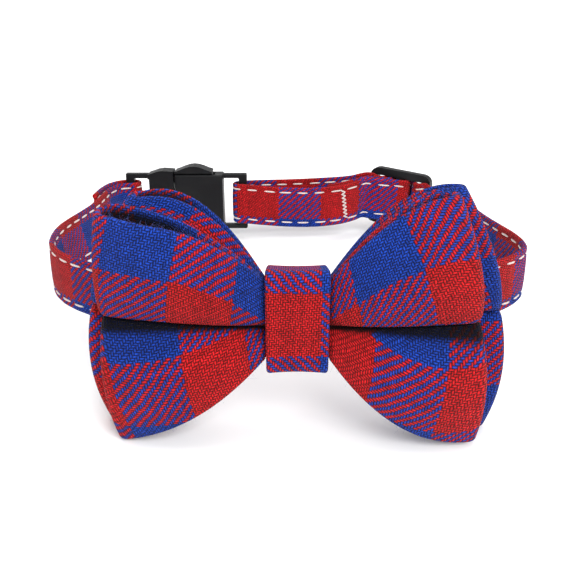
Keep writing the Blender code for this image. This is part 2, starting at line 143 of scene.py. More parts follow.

# Dyed yarn, with painted shade between the threads and painted light on their crests.
RED_SHADED = (0.22, 0.003, 0.004, 1.0)
RED_LIT = (0.40, 0.008, 0.010, 1.0)
BLUE_SHADED = (0.003, 0.011, 0.11, 1.0)
BLUE_LIT = (0.007, 0.037, 0.27, 1.0)
SHEEN_TINT = (1.0, 0.86, 0.92, 1.0)
FUZZ_BLUE = (0.02, 0.05, 0.30, 1.0)
FUZZ_PALE = (0.16, 0.20, 0.55, 1.0)
THREAD_CREAM = (0.72, 0.60, 0.57, 1.0)
PLASTIC = (0.0035, 0.0036, 0.0045, 1.0)
PLASTIC_RUBBED = (0.007, 0.0075, 0.008, 1.0)
FLOOR_COOL = (0.93, 0.93, 0.935, 1.0)
FLOOR_WHITE = (0.95, 0.95, 0.95, 1.0)

# The studio. The camera's place is in the collar's frame, and the lights' places are in metres.
CAMERA_AT = (0.0, -145.0, 44.0)
CAMERA_PITCH = math.radians(20.5)
SENSOR_WIDTH = 36.0
FOCAL_LENGTH = 45.2356
WORLD_STRENGTH = 0.55
LIGHT_TARGET = (0, 0, 0.02)


# --------------------------------------
# Shader arithmetic


class Field:
    """A number that varies over a surface: a shader socket that adds, multiplies and so on."""

    def __init__(self, tree, socket):
        self.tree = tree
        self.socket = socket

    def apply(self, operation, *others, clamp=False):
        node = self.tree.nodes.new("ShaderNodeMath")
        node.operation = operation
        node.use_clamp = clamp
        for value, target in zip((self,) + others, node.inputs):
            if isinstance(value, Field):
                self.tree.links.new(value.socket, target)
            else:
                target.default_value = value
        return Field(self.tree, node.outputs[0])

    def __add__(self, other):
        return self.apply("ADD", other)

    def __sub__(self, other):
        return self.apply("SUBTRACT", other)

    def __mul__(self, other):
        return self.apply("MULTIPLY", other)

    def __truediv__(self, other):
        return self.apply("DIVIDE", other)

    def __pow__(self, other):
        return self.apply("POWER", other)

    def floor(self):
        return self.apply("FLOOR")

    def wrapped(self, period):
        return self.apply("FLOORED_MODULO", period)

    def below(self, limit):
        return self.apply("LESS_THAN", limit)

    def arch(self, sharpness=2.0):
        """1 in the middle of 0 to 1, falling to 0 at both ends."""
        return (((self * 2.0 - 1.0).apply("ABSOLUTE") ** sharpness) * -1.0) + 1.0

    def toward(self, other, share):
        """Mixes this Field with another by a share from 0 to 1."""
        return self + (other - self) * share


def new_material(name):
    """A material, its node tree and its shader."""
    material = bpy.data.materials.new(name)
    material.use_nodes = True
    return material, material.node_tree, material.node_tree.nodes["Principled BSDF"]


def uv_fields(tree):
    """The two coordinates of the UV map "cloth"."""
    coordinates = tree.nodes.new("ShaderNodeUVMap")
    coordinates.uv_map = "cloth"
    parts = tree.nodes.new("ShaderNodeSeparateXYZ")
    tree.links.new(coordinates.outputs[0], parts.inputs[0])
    return Field(tree, parts.outputs[0]), Field(tree, parts.outputs[1])


def noise(tree, scale, detail, stretch=(1, 1, 1)):
    """Noise over the object's own coordinates, with scale in bumps for each millimetre."""
    coordinates = tree.nodes.new("ShaderNodeTexCoord")
    mapping = tree.nodes.new("ShaderNodeMapping")
    mapping.inputs["Scale"].default_value = [1000 * factor for factor in stretch]
    texture = tree.nodes.new("ShaderNodeTexNoise")
    texture.inputs["Scale"].default_value = scale
    texture.inputs["Detail"].default_value = detail
    tree.links.new(coordinates.outputs["Object"], mapping.inputs["Vector"])
    tree.links.new(mapping.outputs[0], texture.inputs["Vector"])
    return Field(tree, texture.outputs["Fac"])


def painted_recess_shade(tree):
    """How much painted shade darkens a point of the cloth in a crease or a hollow, from 0 to 1."""
    node = tree.nodes.new("ShaderNodeAttribute")
    node.attribute_name = "painted_recess_shade"
    return Field(tree, node.outputs["Fac"])


def per_yarn(tree, index, seed):
    """A number from 0 to 1 for each yarn."""
    texture = tree.nodes.new("ShaderNodeTexWhiteNoise")
    texture.noise_dimensions = "1D"
    tree.links.new((index + seed).socket, texture.inputs["W"])
    return Field(tree, texture.outputs["Value"])


def blend_colours(tree, share, first, second):
    """Colours are sockets or RGBA values; share is a Field from 0 to 1."""
    node = tree.nodes.new("ShaderNodeMix")
    node.data_type = "RGBA"
    tree.links.new(share.socket, node.inputs["Factor"])
    for value, target in ((first, node.inputs[6]), (second, node.inputs[7])):
        if isinstance(value, tuple):
            target.default_value = value
        else:
            tree.links.new(value, target)
    return node.outputs[2]


def brighten(tree, colour, amount):
    """Multiplies a colour by a Field."""
    node = tree.nodes.new("ShaderNodeMix")
    node.data_type = "RGBA"
    node.blend_type = "MULTIPLY"
    node.inputs["Factor"].default_value = 1.0
    grey = tree.nodes.new("ShaderNodeCombineColor")
    for target in grey.inputs[:3]:
        tree.links.new(amount.socket, target)
    tree.links.new(colour, node.inputs[6])
    tree.links.new(grey.outputs[0], node.inputs[7])
    return node.outputs[2]


def add_bump(tree, shader, height, distance):
    """Relief from a height of 0 to 1, with distance in millimetres."""
    bump = tree.nodes.new("ShaderNodeBump")
    bump.inputs["Distance"].default_value = distance * MM
    bump.inputs["Strength"].default_value = 1.0
    tree.links.new(height.socket, bump.inputs["Height"])
    tree.links.new(bump.outputs[0], shader.inputs["Normal"])


def plaid(name, blue_column_from, blue_row_from, diagonal=1):
    """Red and blue buffalo check in 2/2 twill. The UV map "cloth" is in millimetres, U to the right
    and V down the cloth. A blue column and a blue row start at the given places, and diagonal is 1
    where the twill's lines rise to the right and -1 where they fall."""
    material, tree, shader = new_material(name)
    u, v = uv_fields(tree)
    wander_u = noise(tree, 0.35, 1.0)
    wander_v = noise(tree, 0.31, 1.0, stretch=(1.0, 1.3, 0.9))
    waver_u = noise(tree, 1.6, 1.0, stretch=(1.2, 1.0, 0.8))
    waver_v = noise(tree, 1.5, 1.0, stretch=(0.8, 1.1, 1.2))
    u = u + (wander_u - 0.5) * WANDER + (waver_u - 0.5) * WAVER
    v = v + (wander_v - 0.5) * WANDER + (waver_v - 0.5) * WAVER
    across, along = u / YARN, v / YARN
    warp, weft = across.floor(), along.floor()
    in_warp, in_weft = across - warp, along - weft
    phase = (warp + weft * float(diagonal)).wrapped(4.0)
    warp_on_top = phase.below(1.5)
    warp_run = ((phase * float(diagonal) + (0.0 if diagonal > 0 else 1.0)) + in_weft) * 0.5
    weft_run = (phase - 2.0 + in_warp) * 0.5
    warp_height = (in_warp.arch() ** 0.5) * (warp_run.arch(3.0) * 0.5 + 0.5)
    weft_height = (in_weft.arch() ** 0.5) * (weft_run.arch(3.0) * 0.5 + 0.5)
    height = weft_height.toward(warp_height, warp_on_top)

    warp_check = (((warp + 0.5) * YARN - blue_column_from) / CHECK).wrapped(2.0).below(1.0)
    weft_check = (((weft + 0.5) * YARN - blue_row_from) / CHECK).wrapped(2.0).below(1.0)
    top_is_blue = weft_check.toward(warp_check, warp_on_top)
    under_is_blue = warp_check.toward(weft_check, warp_on_top)
    share_of_blue = top_is_blue.toward(under_is_blue, SHOW_THROUGH)
    # Painted shade down the yarns' sides and painted light on their crests, in each colour.
    crest = height ** 1.5
    red = blend_colours(tree, crest, RED_SHADED, RED_LIT)
    blue = blend_colours(tree, crest, BLUE_SHADED, BLUE_LIT)
    colour = blend_colours(tree, share_of_blue, red, blue)

    tone = per_yarn(tree, warp, 3.0).toward(per_yarn(tree, weft, 71.0), 0.5)
    fibres = noise(tree, 9.0, 3.0)
    patches = noise(tree, 0.09, 2.0)
    slubs = noise(tree, 1.7, 2.0)
    # Painted shade between the yarns, times the yarns' own tone, fibres, slubs and patches.
    painted_shade_and_tone = (height ** 1.8) * 1.35 + 0.12
    painted_shade_and_tone = painted_shade_and_tone * (tone * 0.4 + 0.8) * (fibres * 0.8 + 0.6)
    painted_shade_and_tone = painted_shade_and_tone * (slubs * 1.5 + 0.25) * (patches * 0.3 + 0.85)
    # Painted shade in the bows' creases and hollows.
    painted_shade_and_tone = painted_shade_and_tone * (painted_recess_shade(tree) * -PAINTED_SHADE_STRENGTH + 1.0)
    tree.links.new(brighten(tree, colour, painted_shade_and_tone), shader.inputs["Base Color"])
    tree.links.new((fibres * 0.15 + 0.78).socket, shader.inputs["Roughness"])
    shader.inputs["Specular IOR Level"].default_value = 0.12
    shader.inputs["Sheen Weight"].default_value = 0.05
    shader.inputs["Sheen Roughness"].default_value = 0.45
    shader.inputs["Sheen Tint"].default_value = SHEEN_TINT
    add_bump(tree, shader, height + fibres * 0.4, WEAVE_RELIEF)
    return material


def thread(name, colour):
    """Sewing thread: two plies twisted round each other."""
    material, tree, shader = new_material(name)
    along, around = uv_fields(tree)
    twist = (along * 2.2 + around).wrapped(1.0).arch()
    grime = noise(tree, 0.8, 3.0)
    # Painted shade between the two plies, times a random grime.
    painted_shade_and_tone = (twist * 0.35 + 0.65) * (grime * 0.3 + 0.85)
    base = tree.nodes.new("ShaderNodeRGB")
    base.outputs[0].default_value = colour
    tree.links.new(brighten(tree, base.outputs[0], painted_shade_and_tone), shader.inputs["Base Color"])
    shader.inputs["Roughness"].default_value = 0.7
    shader.inputs["Sheen Weight"].default_value = 0.2
    add_bump(tree, shader, twist, 0.06)
    return material


def fuzz(name):
    """Loose fibres, in the cloth's blue and a paler one."""
    material, tree, shader = new_material(name)
    colour = blend_colours(tree, noise(tree, 0.5, 1.0), FUZZ_BLUE, FUZZ_PALE)
    tree.links.new(colour, shader.inputs["Base Color"])
    shader.inputs["Roughness"].default_value = 0.8
    return material


def moulded_plastic(name):
    """Black moulded acetal: satin, a little greyer where it is handled, with a fine moulded grain."""
    material, tree, shader = new_material(name)
    grain = noise(tree, 6.0, 3.0)
    flow = noise(tree, 0.25, 2.0, stretch=(0.5, 1.0, 1.0))
    rubbed = (flow - 0.45).apply("MULTIPLY", 2.5, clamp=True)
    colour = blend_colours(tree, rubbed, PLASTIC, PLASTIC_RUBBED)
    tree.links.new(colour, shader.inputs["Base Color"])
    tree.links.new((grain * 0.12 + 0.36 + rubbed * 0.08).socket, shader.inputs["Roughness"])
    shader.inputs["Specular IOR Level"].default_value = 0.22
    add_bump(tree, shader, grain, 0.02)
    return material


def studio_floor(name):
    """Matt white, with a faint cloudiness."""
    material, tree, shader = new_material(name)
    cloudy = noise(tree, 0.004, 2.0)
    colour = blend_colours(tree, cloudy, FLOOR_COOL, FLOOR_WHITE)
    tree.links.new(colour, shader.inputs["Base Color"])
    shader.inputs["Roughness"].default_value = 0.85
    shader.inputs["Specular IOR Level"].default_value = 0.1
    return material


# --------------------------------------
# Meshes


def settle(points):
    """Points in the collar's frame, in millimetres, taken to the row's frame in metres."""
    points = np.asarray(points, float).reshape(-1, 3)
    matrix = np.array(REST)
    return points @ matrix[:3, :3].T + matrix[:3, 3]


def new_object(name, points, faces, material, uvs=None):
    """A smooth mesh. uvs holds one pair for each corner of each face, in the faces' order."""
    mesh = bpy.data.meshes.new(name)
    mesh.from_pydata(settle(points).tolist(), [], [list(map(int, face)) for face in faces])
    if uvs is not None:
        layer = mesh.uv_layers.new(name="cloth")
        layer.data.foreach_set("uv", np.asarray(uvs, np.float32).ravel())
    mesh.materials.append(material)
    mesh.shade_smooth()
    mesh.validate()
    obj = bpy.data.objects.new(name, mesh)
    bpy.context.scene.collection.objects.link(obj)
    return obj


def torus_faces(columns, rows):
    """Quads of a grid that closes on itself both ways, as vertex indices, column by column."""
    c, r = np.meshgrid(np.arange(columns), np.arange(rows), indexing="ij")
    c2, r2 = (c + 1) % columns, (r + 1) % rows
    corners = [c * rows + r, c2 * rows + r, c2 * rows + r2, c * rows + r2]
    return np.stack(corners, axis=-1).reshape(-1, 4)


def unit(vectors):
    return vectors / np.maximum(np.linalg.norm(vectors, axis=-1, keepdims=True), 1e-9)


def run_length(points, axis=0):
    """Distance along a grid of points, from 0."""
    steps = np.linalg.norm(np.diff(points, axis=axis), axis=-1)
    start = np.zeros_like(np.take(steps, [0], axis=axis))
    return np.concatenate([start, np.cumsum(steps, axis=axis)], axis=axis)


def between(first, last, share):
    """The value at a share of the way from the first to the last."""
    return first + (last - first) * share


def smooth_step(x, start, end):
    """0 before the start and 1 past the end, with a smooth rise between them."""
    t = np.clip((x - start) / (end - start), 0, 1)
    return t * t * (3 - 2 * t)


# --------------------------------------
# Bows

# How each lobe's cloth lies, by wing and by lobe: (at, stretch, slant, hem, climb, depth). Its columns
# are at, plus stretch times the way round the bow, plus slant times the distance from the lobe's outer
# edge. Its rows start at hem on that edge, and go climb for each length round the bow and depth for
# each length from the edge.
FRONT_GRAIN = {
    (-1, 1): (1.5, 1.05, 0.10, 3.0, 0.065, 1.0),
    (-1, -1): (-1.85, 0.90, 0.12, 34.6, -0.27, -0.93),
    (1, 1): (1.6, 1.03, -0.15, 3.4, -0.15, 1.0),
    (1, -1): (-0.5, 0.82, -0.12, 37.3, 0.17, -0.90),
}
REAR_GRAIN = {
    (-1, 1): (-1.2, 1.0, 0.10, 0.0, 0.0, 1.0),
    (-1, -1): (-3.7, 1.0, 0.10, 31.7, 0.0, -1.0),
    (1, 1): (3.7, 1.0, -0.10, 0.0, 0.0, 1.0),
    (1, -1): (3.7, 1.0, -0.10, 42.0, 0.0, -1.0),
}
# How finely a bow is divided: along a wing, up a lobe, round a folded end and round a hem.
WING_STEPS = 44
LOBE_STEPS = 34
FOLD_STEPS = 9
EDGE_STEPS = 5


def lobe(height):
    """How far a wing's lobe stands forward at a height: 0 in the crease, 1 on its crest. The upper
    lobe leaves the crease more steeply than the lower one."""
    steepness = np.where(height > 0, 0.62, 0.80)
    return np.sin(0.82 * math.pi * np.minimum(np.abs(height), 1.1) ** steepness)


def wing_end(wing, height):
    """How far a wing reaches at a height from -1 on its bottom edge to 1 on its top edge."""
    top, middle, bottom = wing["end"]
    return middle + (top - bottom) / 2 * height + ((top + bottom) / 2 - middle) * height**2


def wing_surface(wing, side, panel, panels, out, height):
    """Points of a bow's panel for arrays of out, 0 at the knot's side to 1 at the wing's end, and
    height, 1 on the top edge, 0 in the crease and -1 on the bottom edge."""
    fold_radius = (panels[1][1] - panels[0][1]) / 2
    reach = wing_end(wing, height) - fold_radius
    x = np.where(out >= 0, between(WAIST_HALF_WIDTH, reach, out), WAIST_HALF_WIDTH * (1 + out))
    out = np.maximum(0.0, out)
    nominal = np.maximum(0.0, (x - WAIST_HALF_WIDTH) / (NOMINAL_REACH - WAIST_HALF_WIDTH))
    near = np.minimum(1.0, nominal)
    crease = between(CREASE_AT_WAIST, CREASE_AT_END[side], nominal)
    arch_up = out + wing["arch"][0] * out * (1 - out)
    arch_down = out + wing["arch"][1] * out * (1 - out)
    waist_top = WAIST_TOP - KNOT_FALL * (panels[panel][0] - FRONT_PANELS[0][0])
    edge_up = between(waist_top, wing["high"][0], arch_up)
    edge_down = between(WAIST_BOTTOM, wing["high"][1], arch_down)
    edge = np.where(height >= 0, edge_up, edge_down)
    z = between(crease, edge, np.abs(height))
    risen = 1 - (1 - near) ** 3
    lobe_height = between(*LOBE_HEIGHT, risen)
    depth = between(*LOBE_DEPTH, risen)
    share = np.minimum(1.0, np.abs(z - crease) / lobe_height)
    swell = lobe((z - crease) / lobe_height)
    opening = np.sin(math.pi * near ** wing["gape_at"])
    if panel == 0:
        depth = depth + wing["puff"] * np.sin(math.pi * near) ** 0.5
    y = between(panels[panel][0], panels[panel][1], nominal) - depth * swell
    upper = height > 0
    y = y + np.where(upper, wing["gape"][panel] * opening * share**1.5, 0)
    above = np.clip((z - crease) / LIP_AT, 0, None)
    lip = LIP_SAG * near * above * np.exp(1 - above) if panel == 0 else 0.0
    z = z - np.where(upper, wing["dip"][panel] * opening * height**2 + lip, 0)
    return np.stack([BOW_X + side * x, y, z], axis=-1)


def lobe_rows(points, from_edge):
    """Resample each column of a lobe, given crease first, at even steps with a fine rounded edge.
    Returns the rows and their distance from the lobe's outer edge."""
    length = run_length(points, axis=1)
    total = length[:, -1:]
    body = 1 - np.cos(np.linspace(0, 1, LOBE_STEPS + 1) * math.pi / 2)
    body = between(np.linspace(0, 1, LOBE_STEPS + 1), body, 0.55)
    rounded = np.sin(np.linspace(0, 1, EDGE_STEPS + 1)[1:] * math.pi / 2)
    places = np.concatenate(
        [body[None] * (total - from_edge), total - from_edge * (1 - rounded[None])], axis=1
    )
    rows = np.empty(places.shape + (3,))
    for column in range(len(points)):
        for axis in range(3):
            rows[column, :, axis] = np.interp(places[column], length[column], points[column, :, axis])
    return rows, total - places


def bow_columns(wings, panels, height):
    """Columns once round a bow's ring, starting at the middle of the rear panel: rear panel to the
    left, left fold, front panel, right fold, and back. Each is an array over the heights."""
    shares = np.linspace(0, 1, WING_STEPS + 1) ** 1.1
    inner = np.linspace(-1, 0, 9)[:-1]
    outwards = np.concatenate([inner, shares])
    columns, sides = [], []

    def panel_columns(side, panel, path):
        for share in path:
            out = np.full_like(height, share)
            columns.append(wing_surface(wings[side], side, panel, panels, out, height))
            sides.append(side)

    def fold(side, leaving, entering):
        first = wing_surface(wings[side], side, leaving, panels, np.ones_like(height), height)
        last = wing_surface(wings[side], side, entering, panels, np.ones_like(height), height)
        radius = np.linalg.norm(last - first, axis=-1) / 2
        for step in range(1, FOLD_STEPS + 1):
            angle = math.pi * step / (FOLD_STEPS + 1)
            column = (first + last) / 2 + (first - last) / 2 * math.cos(angle)
            column[:, 0] += side * radius * math.sin(angle)
            columns.append(column)
            sides.append(side)

    panel_columns(-1, 1, outwards[1:])
    fold(-1, 1, 0)
    panel_columns(-1, 0, outwards[::-1])
    middle = len(columns) - 1
    panel_columns(1, 0, outwards[1:])
    fold(1, 0, 1)
    panel_columns(1, 1, outwards[::-1])
    return np.array(columns), np.array(sides), middle


def make_bow(name, wings, panels, grain, material, crease_push, shadow):
    """A bow's cloth: a closed ring with a rounded hem at its top and bottom edge. The crease goes back
    by crease_push near the knot and at the wings' ends, and shadow scales the painted shade below it."""
    half = CLOTH_THICK / 2
    fine = np.linspace(0, 1, 121) ** 1.5
    upper, sides, middle = bow_columns(wings, panels, fine)
    lower, _, _ = bow_columns(wings, panels, -fine)
    upper, upper_left = lobe_rows(upper, half)
    lower, lower_left = lobe_rows(lower, half)
    surface = np.concatenate([lower[:, ::-1], upper[:, 1:]], axis=1)
    from_edge = np.concatenate([lower_left[:, ::-1], upper_left[:, 1:]], axis=1)
    crease_row = lower.shape[1] - 1
    from_crease = np.abs(run_length(surface, axis=1) - run_length(surface, axis=1)[:, crease_row, None])

    reach = np.clip(np.abs(surface[..., 0] - BOW_X) / NOMINAL_REACH, 0, 1)
    surface[..., 1] += between(*crease_push, reach) * np.exp(-((from_crease / 1.2) ** 2))

    along = np.roll(surface, -1, axis=0) - np.roll(surface, 1, axis=0)
    up = np.gradient(surface, axis=1)
    normals = unit(np.cross(along, up))
    rim = np.clip(from_edge / half, 0, 1)
    thickness = half * np.sqrt(1 - (1 - rim) ** 2)
    # The cloth is squeezed thin in the crease.
    thickness = thickness * between(0.35, 1.0, smooth_step(from_crease, 0.0, 2.2))
    outer = surface + normals * thickness[..., None]
    inner = surface - normals * thickness[..., None]
    # The hem's outermost row is shared by both faces of the cloth.
    ring = np.concatenate([outer, inner[:, -2:0:-1]], axis=1)
    columns, rows = ring.shape[:2]
    count = surface.shape[1]
    # Painted shade: a band below the crease, wider towards the wings' ends, and a thin one above it.
    drop = np.abs(surface[..., 2] - surface[:, crease_row, 2][:, None])
    lower_half = np.arange(count) < crease_row
    at_end = np.where(surface[..., 0] > BOW_X, CREASE_PAINTED_SHADE_AT_END[1], CREASE_PAINTED_SHADE_AT_END[-1])
    below = between(CREASE_PAINTED_SHADE_AT_KNOT, at_end, reach**1.25)
    painted_shade_reach = shadow * np.where(lower_half, below, CREASE_PAINTED_SHADE_ABOVE)
    painted_crease_shade = 1 - smooth_step(drop, CREASE_PAINTED_SHADE_CORE * painted_shade_reach, painted_shade_reach)
    # Painted shade on the inner face of the cloth, from just inside the hems and from mid-wing
    # outwards.
    painted_hollow_shade = smooth_step(from_edge, 0.0, 1.2) * smooth_step(reach, 0.4, 0.6)
    painted_recess_shade = np.concatenate([painted_crease_shade, painted_hollow_shade[:, -2:0:-1]], axis=1)

    # Grain: columns and rows of the cloth at each corner, in millimetres.
    edge_run = {1: run_length(surface[:, -1]), -1: run_length(surface[:, 0])}
    faces = torus_faces(columns, rows)
    c, r = np.meshgrid(np.arange(columns), np.arange(rows), indexing="ij")
    uvs = np.empty((columns, rows, 4, 2))
    for corner, (dc, dr) in enumerate(((0, 0), (1, 0), (1, 1), (0, 1))):
        row = r + dr
        inside = r >= count - 1
        surface_row = np.clip(np.where(inside, 2 * (count - 1) - row, row), 0, count - 1)
        lobe_of_quad = np.where(inside, 2 * (count - 1) - r - 1, r) >= crease_row
        column = (c + dc) % columns
        for which, chosen in ((1, lobe_of_quad), (-1, ~lobe_of_quad)):
            start = edge_run[which]
            total_run = np.append(start, start[-1] + np.linalg.norm(surface[0, -1] - surface[-1, -1]))
            run = total_run[c + dc] - start[middle]
            lies = zip(grain[1, which], grain[-1, which])
            at, stretch, slant, hem, climb, depth = (
                np.where(sides[c] > 0, right, left) for right, left in lies
            )
            distance = from_edge[column, surface_row]
            u = at + stretch * run + slant * distance
            v = hem + climb * run + depth * distance * np.where(inside, -1, 1)
            uvs[..., corner, 0] = np.where(chosen, u, uvs[..., corner, 0])
            uvs[..., corner, 1] = np.where(chosen, v, uvs[..., corner, 1])
    bow = new_object(name, ring, faces, material, uvs.reshape(-1, 2))
    # The painted shade of the creases and hollows, stored on the points for the material.
    layer = bow.data.attributes.new("painted_recess_shade", "FLOAT", "POINT")
    layer.data.foreach_set("value", painted_recess_shade.ravel().astype(np.float32))
    return bow, surface


# --------------------------------------
# Knot band


def rounded_outline(width, height, radius, steps):
    """The outline of a rectangle with round corners, centred on the origin."""
    outline = []
    for quarter in range(4):
        centre = (quarter + 0.5) * math.pi / 2
        cx = math.copysign(width / 2 - radius, math.cos(centre))
        cz = math.copysign(height / 2 - radius, math.sin(centre))
        for step in range(steps + 1):
            angle = (quarter + step / steps) * math.pi / 2
            outline.append((cx + radius * math.cos(angle), cz + radius * math.sin(angle)))
    return np.array(outline)


def even_loop(points, count):
    """The same closed outline with evenly spaced points, and its length."""
    closed = np.vstack([points, points[:1]])
    length = run_length(closed)
    places = np.linspace(0, length[-1], count, endpoint=False)
    even = [np.interp(places, length, closed[:, axis]) for axis in range(2)]
    return np.stack(even, axis=1), length[-1]


def make_knot(material):
    """The knot band: a ring of folded cloth with round hems at both sides, drawn in at its middle."""
    steps_round, steps_across, steps_hem = 132, 26, 5
    middle_y = (KNOT_FRONT + KNOT_BACK) / 2
    middle_z = (KNOT_TOP + KNOT_BOTTOM) / 2
    depth = KNOT_BACK - KNOT_FRONT - KNOT_THICK
    tall = KNOT_TOP - KNOT_BOTTOM - KNOT_THICK
    outline, round_it = even_loop(rounded_outline(depth, tall, KNOT_CORNER, 12), steps_round)
    half = KNOT_THICK / 2
    half_width = KNOT_WIDTH / 2
    inner_x = np.linspace(-half_width + half, half_width - half, steps_across + 1)
    hem = half_width - half + half * np.sin(np.linspace(0, 1, steps_hem + 1)[1:] * math.pi / 2)
    across = np.concatenate([-hem[::-1], inner_x, hem])
    rim = np.clip((half_width - np.abs(across)) / half, 0, 1)
    thickness = half * np.sqrt(1 - (1 - rim) ** 2)
    share = across / half_width
    drawn_in = 1 - 0.035 * (1 - share**2)
    y = middle_y + outline[:, 0][:, None] * np.ones_like(share)
    fall = KNOT_FALL * (outline[:, 0] + depth / 2) * np.maximum(0.0, 2 * outline[:, 1] / tall)
    z = middle_z + (outline[:, 1] - fall)[:, None] * drawn_in
    lean = 0.02 * (outline[:, 1][:, None] - tall / 2) / tall
    x = BOW_X + across * (1 + lean)
    surface = np.stack([x, y, z], axis=-1)
    up = np.roll(surface, -1, axis=0) - np.roll(surface, 1, axis=0)
    sideways = np.gradient(surface, axis=1)
    normals = unit(np.cross(sideways, up))
    outward = surface - np.array([BOW_X, middle_y, middle_z])
    normals *= np.sign((normals * outward).sum(-1, keepdims=True))
    outer = surface + normals * thickness[None, :, None]
    inner = surface - normals * thickness[None, :, None]
    ring = np.concatenate([outer, inner[:, -2:0:-1]], axis=1)
    columns, rows = ring.shape[:2]
    count = len(across)
    # V runs down the front from the band's top, so it starts where the outline is highest in front.
    front_top = int(np.argmax(outline[:, 1] * 2 - outline[:, 0]))
    step = round_it / steps_round
    c, r = np.meshgrid(np.arange(columns), np.arange(rows), indexing="ij")
    uvs = np.empty((columns, rows, 4, 2))
    for corner, (dc, dr) in enumerate(((0, 0), (1, 0), (1, 1), (0, 1))):
        inside = r >= count - 1
        row = np.clip(np.where(inside, 2 * (count - 1) - (r + dr), r + dr), 0, count - 1)
        fold = np.where(inside, 2 * half_width * np.sign(across[row]) - across[row], across[row])
        uvs[..., corner, 0] = fold
        uvs[..., corner, 1] = ((c - front_top + columns // 3) % columns - columns // 3 + dc) * step
    return new_object("knot_cloth", ring, torus_faces(columns, rows), material, uvs.reshape(-1, 2))


# --------------------------------------
# Strap


def on_slide(along, inward, lift=0.0):
    """A route point along the slide, towards the neck and upwards, drooping with the slide."""
    cos, sin = math.cos(SLIDE_TURN), math.sin(SLIDE_TURN)
    x = SLIDE_AT[0] + along * cos + inward * sin
    y = SLIDE_AT[1] + along * sin - inward * cos
    return (x, y, SLIDE_LIFT + lift - along * math.sin(SLIDE_DROOP), 0, 1)


def around_slide_bar(radius, first, last, steps):
    """Route points on an arc round the slide's middle bar, with angles in degrees."""
    angles = np.radians(np.linspace(first, last, steps + 1))
    return [on_slide(radius * math.cos(angle), radius * math.sin(angle)) for angle in angles]


def around(centre_x, centre_y, z, radius, first, last, steps):
    """Route points on an upright arc, with angles in degrees."""
    angles = np.radians(np.linspace(first, last, steps + 1))
    return [(centre_x + radius * math.cos(a), centre_y + radius * math.sin(a), z, 0) for a in angles]


def strap_route():
    """The middle line of the strap from end to end, as in the CAD model: x, y, z in millimetres, the
    outward lean of its upper edge in degrees, and 1 where it droops with the slide."""
    second = WRAP_RADIUS + LAYER_PITCH
    bar_y = BUCKLE_AT[1]
    plug_bar = BUCKLE_AT[0] - BUCKLE_LENGTH / 2 + BAR_INSET
    socket_bar = BUCKLE_AT[0] + BUCKLE_LENGTH / 2 - BAR_INSET
    plug_loop = [
        (-44.3, 20.5, 0.3, -9), (-44.3, 26.5, 0.5, -4), (-43.4, 31.4, 0.6, -1),
        (-41.5, 34.2, 0.6, 0), (-39.6, 35.0, 0.6, 0),
    ]
    plug_loop += around(plug_bar, bar_y, 0.6, WRAP_RADIUS, 90, -90, 6)
    left_side = [
        (-39.6, 30.8, 0.6, 0), (-41.1, 29.7, 0.6, 1), (-42.1, 27.0, 0.5, 4), (-42.3, 20.5, 0.3, 9),
        (-42.3, 13.0, 0, 15), (-43.0, 6.0, 0, 17), (-44.1, 0.0, 0, 12), (-45.0, -6.0, 0, 5),
        (-44.9, -11.5, 0, 0), (-43.4, -17.5, 0, 0), (-40.3, -22.7, 0, 0), (-36.0, -27.0, 0, 0),
        (-31.0, -30.3, 0, 0),
    ]
    front = [
        (-24.0, -32.9, 0, 0), (-16.0, -34.9, 0, 0), (-8.0, -36.4, 0, 0), (1.6, -37.0, 0, 0),
        (10.0, -36.5, 0, 0), (18.0, -35.1, 0, 0), (25.0, -33.1, 0, 0), (31.5, -30.4, 0, 0),
    ]
    right_side = [
        (37.0, -27.0, 0, 0), (41.0, -23.2, 0, 0), (43.5, -19.2, 0, 0), (44.1, -15.0, 0, 0),
        (43.7, -10.5, 0, 2), (42.7, -5.5, 0, 4), (41.6, 0.5, 0, 5), (40.8, 7.0, 0, 5),
        (40.1, 14.0, 0, 4), (39.1, 21.0, -0.2, 2), (37.5, 26.0, -0.4, 0), (36.0, 28.9, -0.3, 0),
    ]
    through_slide = [on_slide(7.0, WRAP_RADIUS, 0.5), on_slide(5.2, 1.6)]
    through_slide += around_slide_bar(second, 0, -180, 8)
    through_slide += [on_slide(-4.1, 0.9), on_slide(-5.2, 1.7), on_slide(-7.0, WRAP_RADIUS, 0.5)]
    outer_run = [
        (16.0, 38.2, 0.9, 0), (8.0, 37.4, 0.5, 0), (0.0, 36.7, 0.3, 0), (-6.0, 36.0, 0.3, 0),
    ]
    socket_turn = around(socket_bar, bar_y, 0.3, WRAP_RADIUS, 90, 270, 6)
    inner_run = [
        (-5.5, 30.2, 0, 0), (0.0, 29.9, -0.3, 0), (8.0, 30.3, -0.4, 0), (14.5, 31.7, 0.1, 0),
        (17.2, 33.0, 0.5, 0), on_slide(-7.0, 5.5), on_slide(-5.0, 5.1), on_slide(-3.0, 4.2),
        on_slide(-1.3, 3.0),
    ]
    slide_wrap = around_slide_bar(WRAP_RADIUS, 75, -180, 10)
    tail = [
        on_slide(-2.7, 1.5), on_slide(-3.8, 2.6), on_slide(-5.2, 3.4), on_slide(-7.0, 3.8),
        (17.2, 35.3, 0.7, 0), (13.8, 33.6, 0.2, 0), (10.7, 32.6, -0.1, 0),
    ]
    keys = plug_loop + left_side + front + right_side + through_slide
    keys += outer_run + socket_turn + inner_run + slide_wrap + tail
    return np.array([key if len(key) == 5 else key + (0,) for key in keys], float)


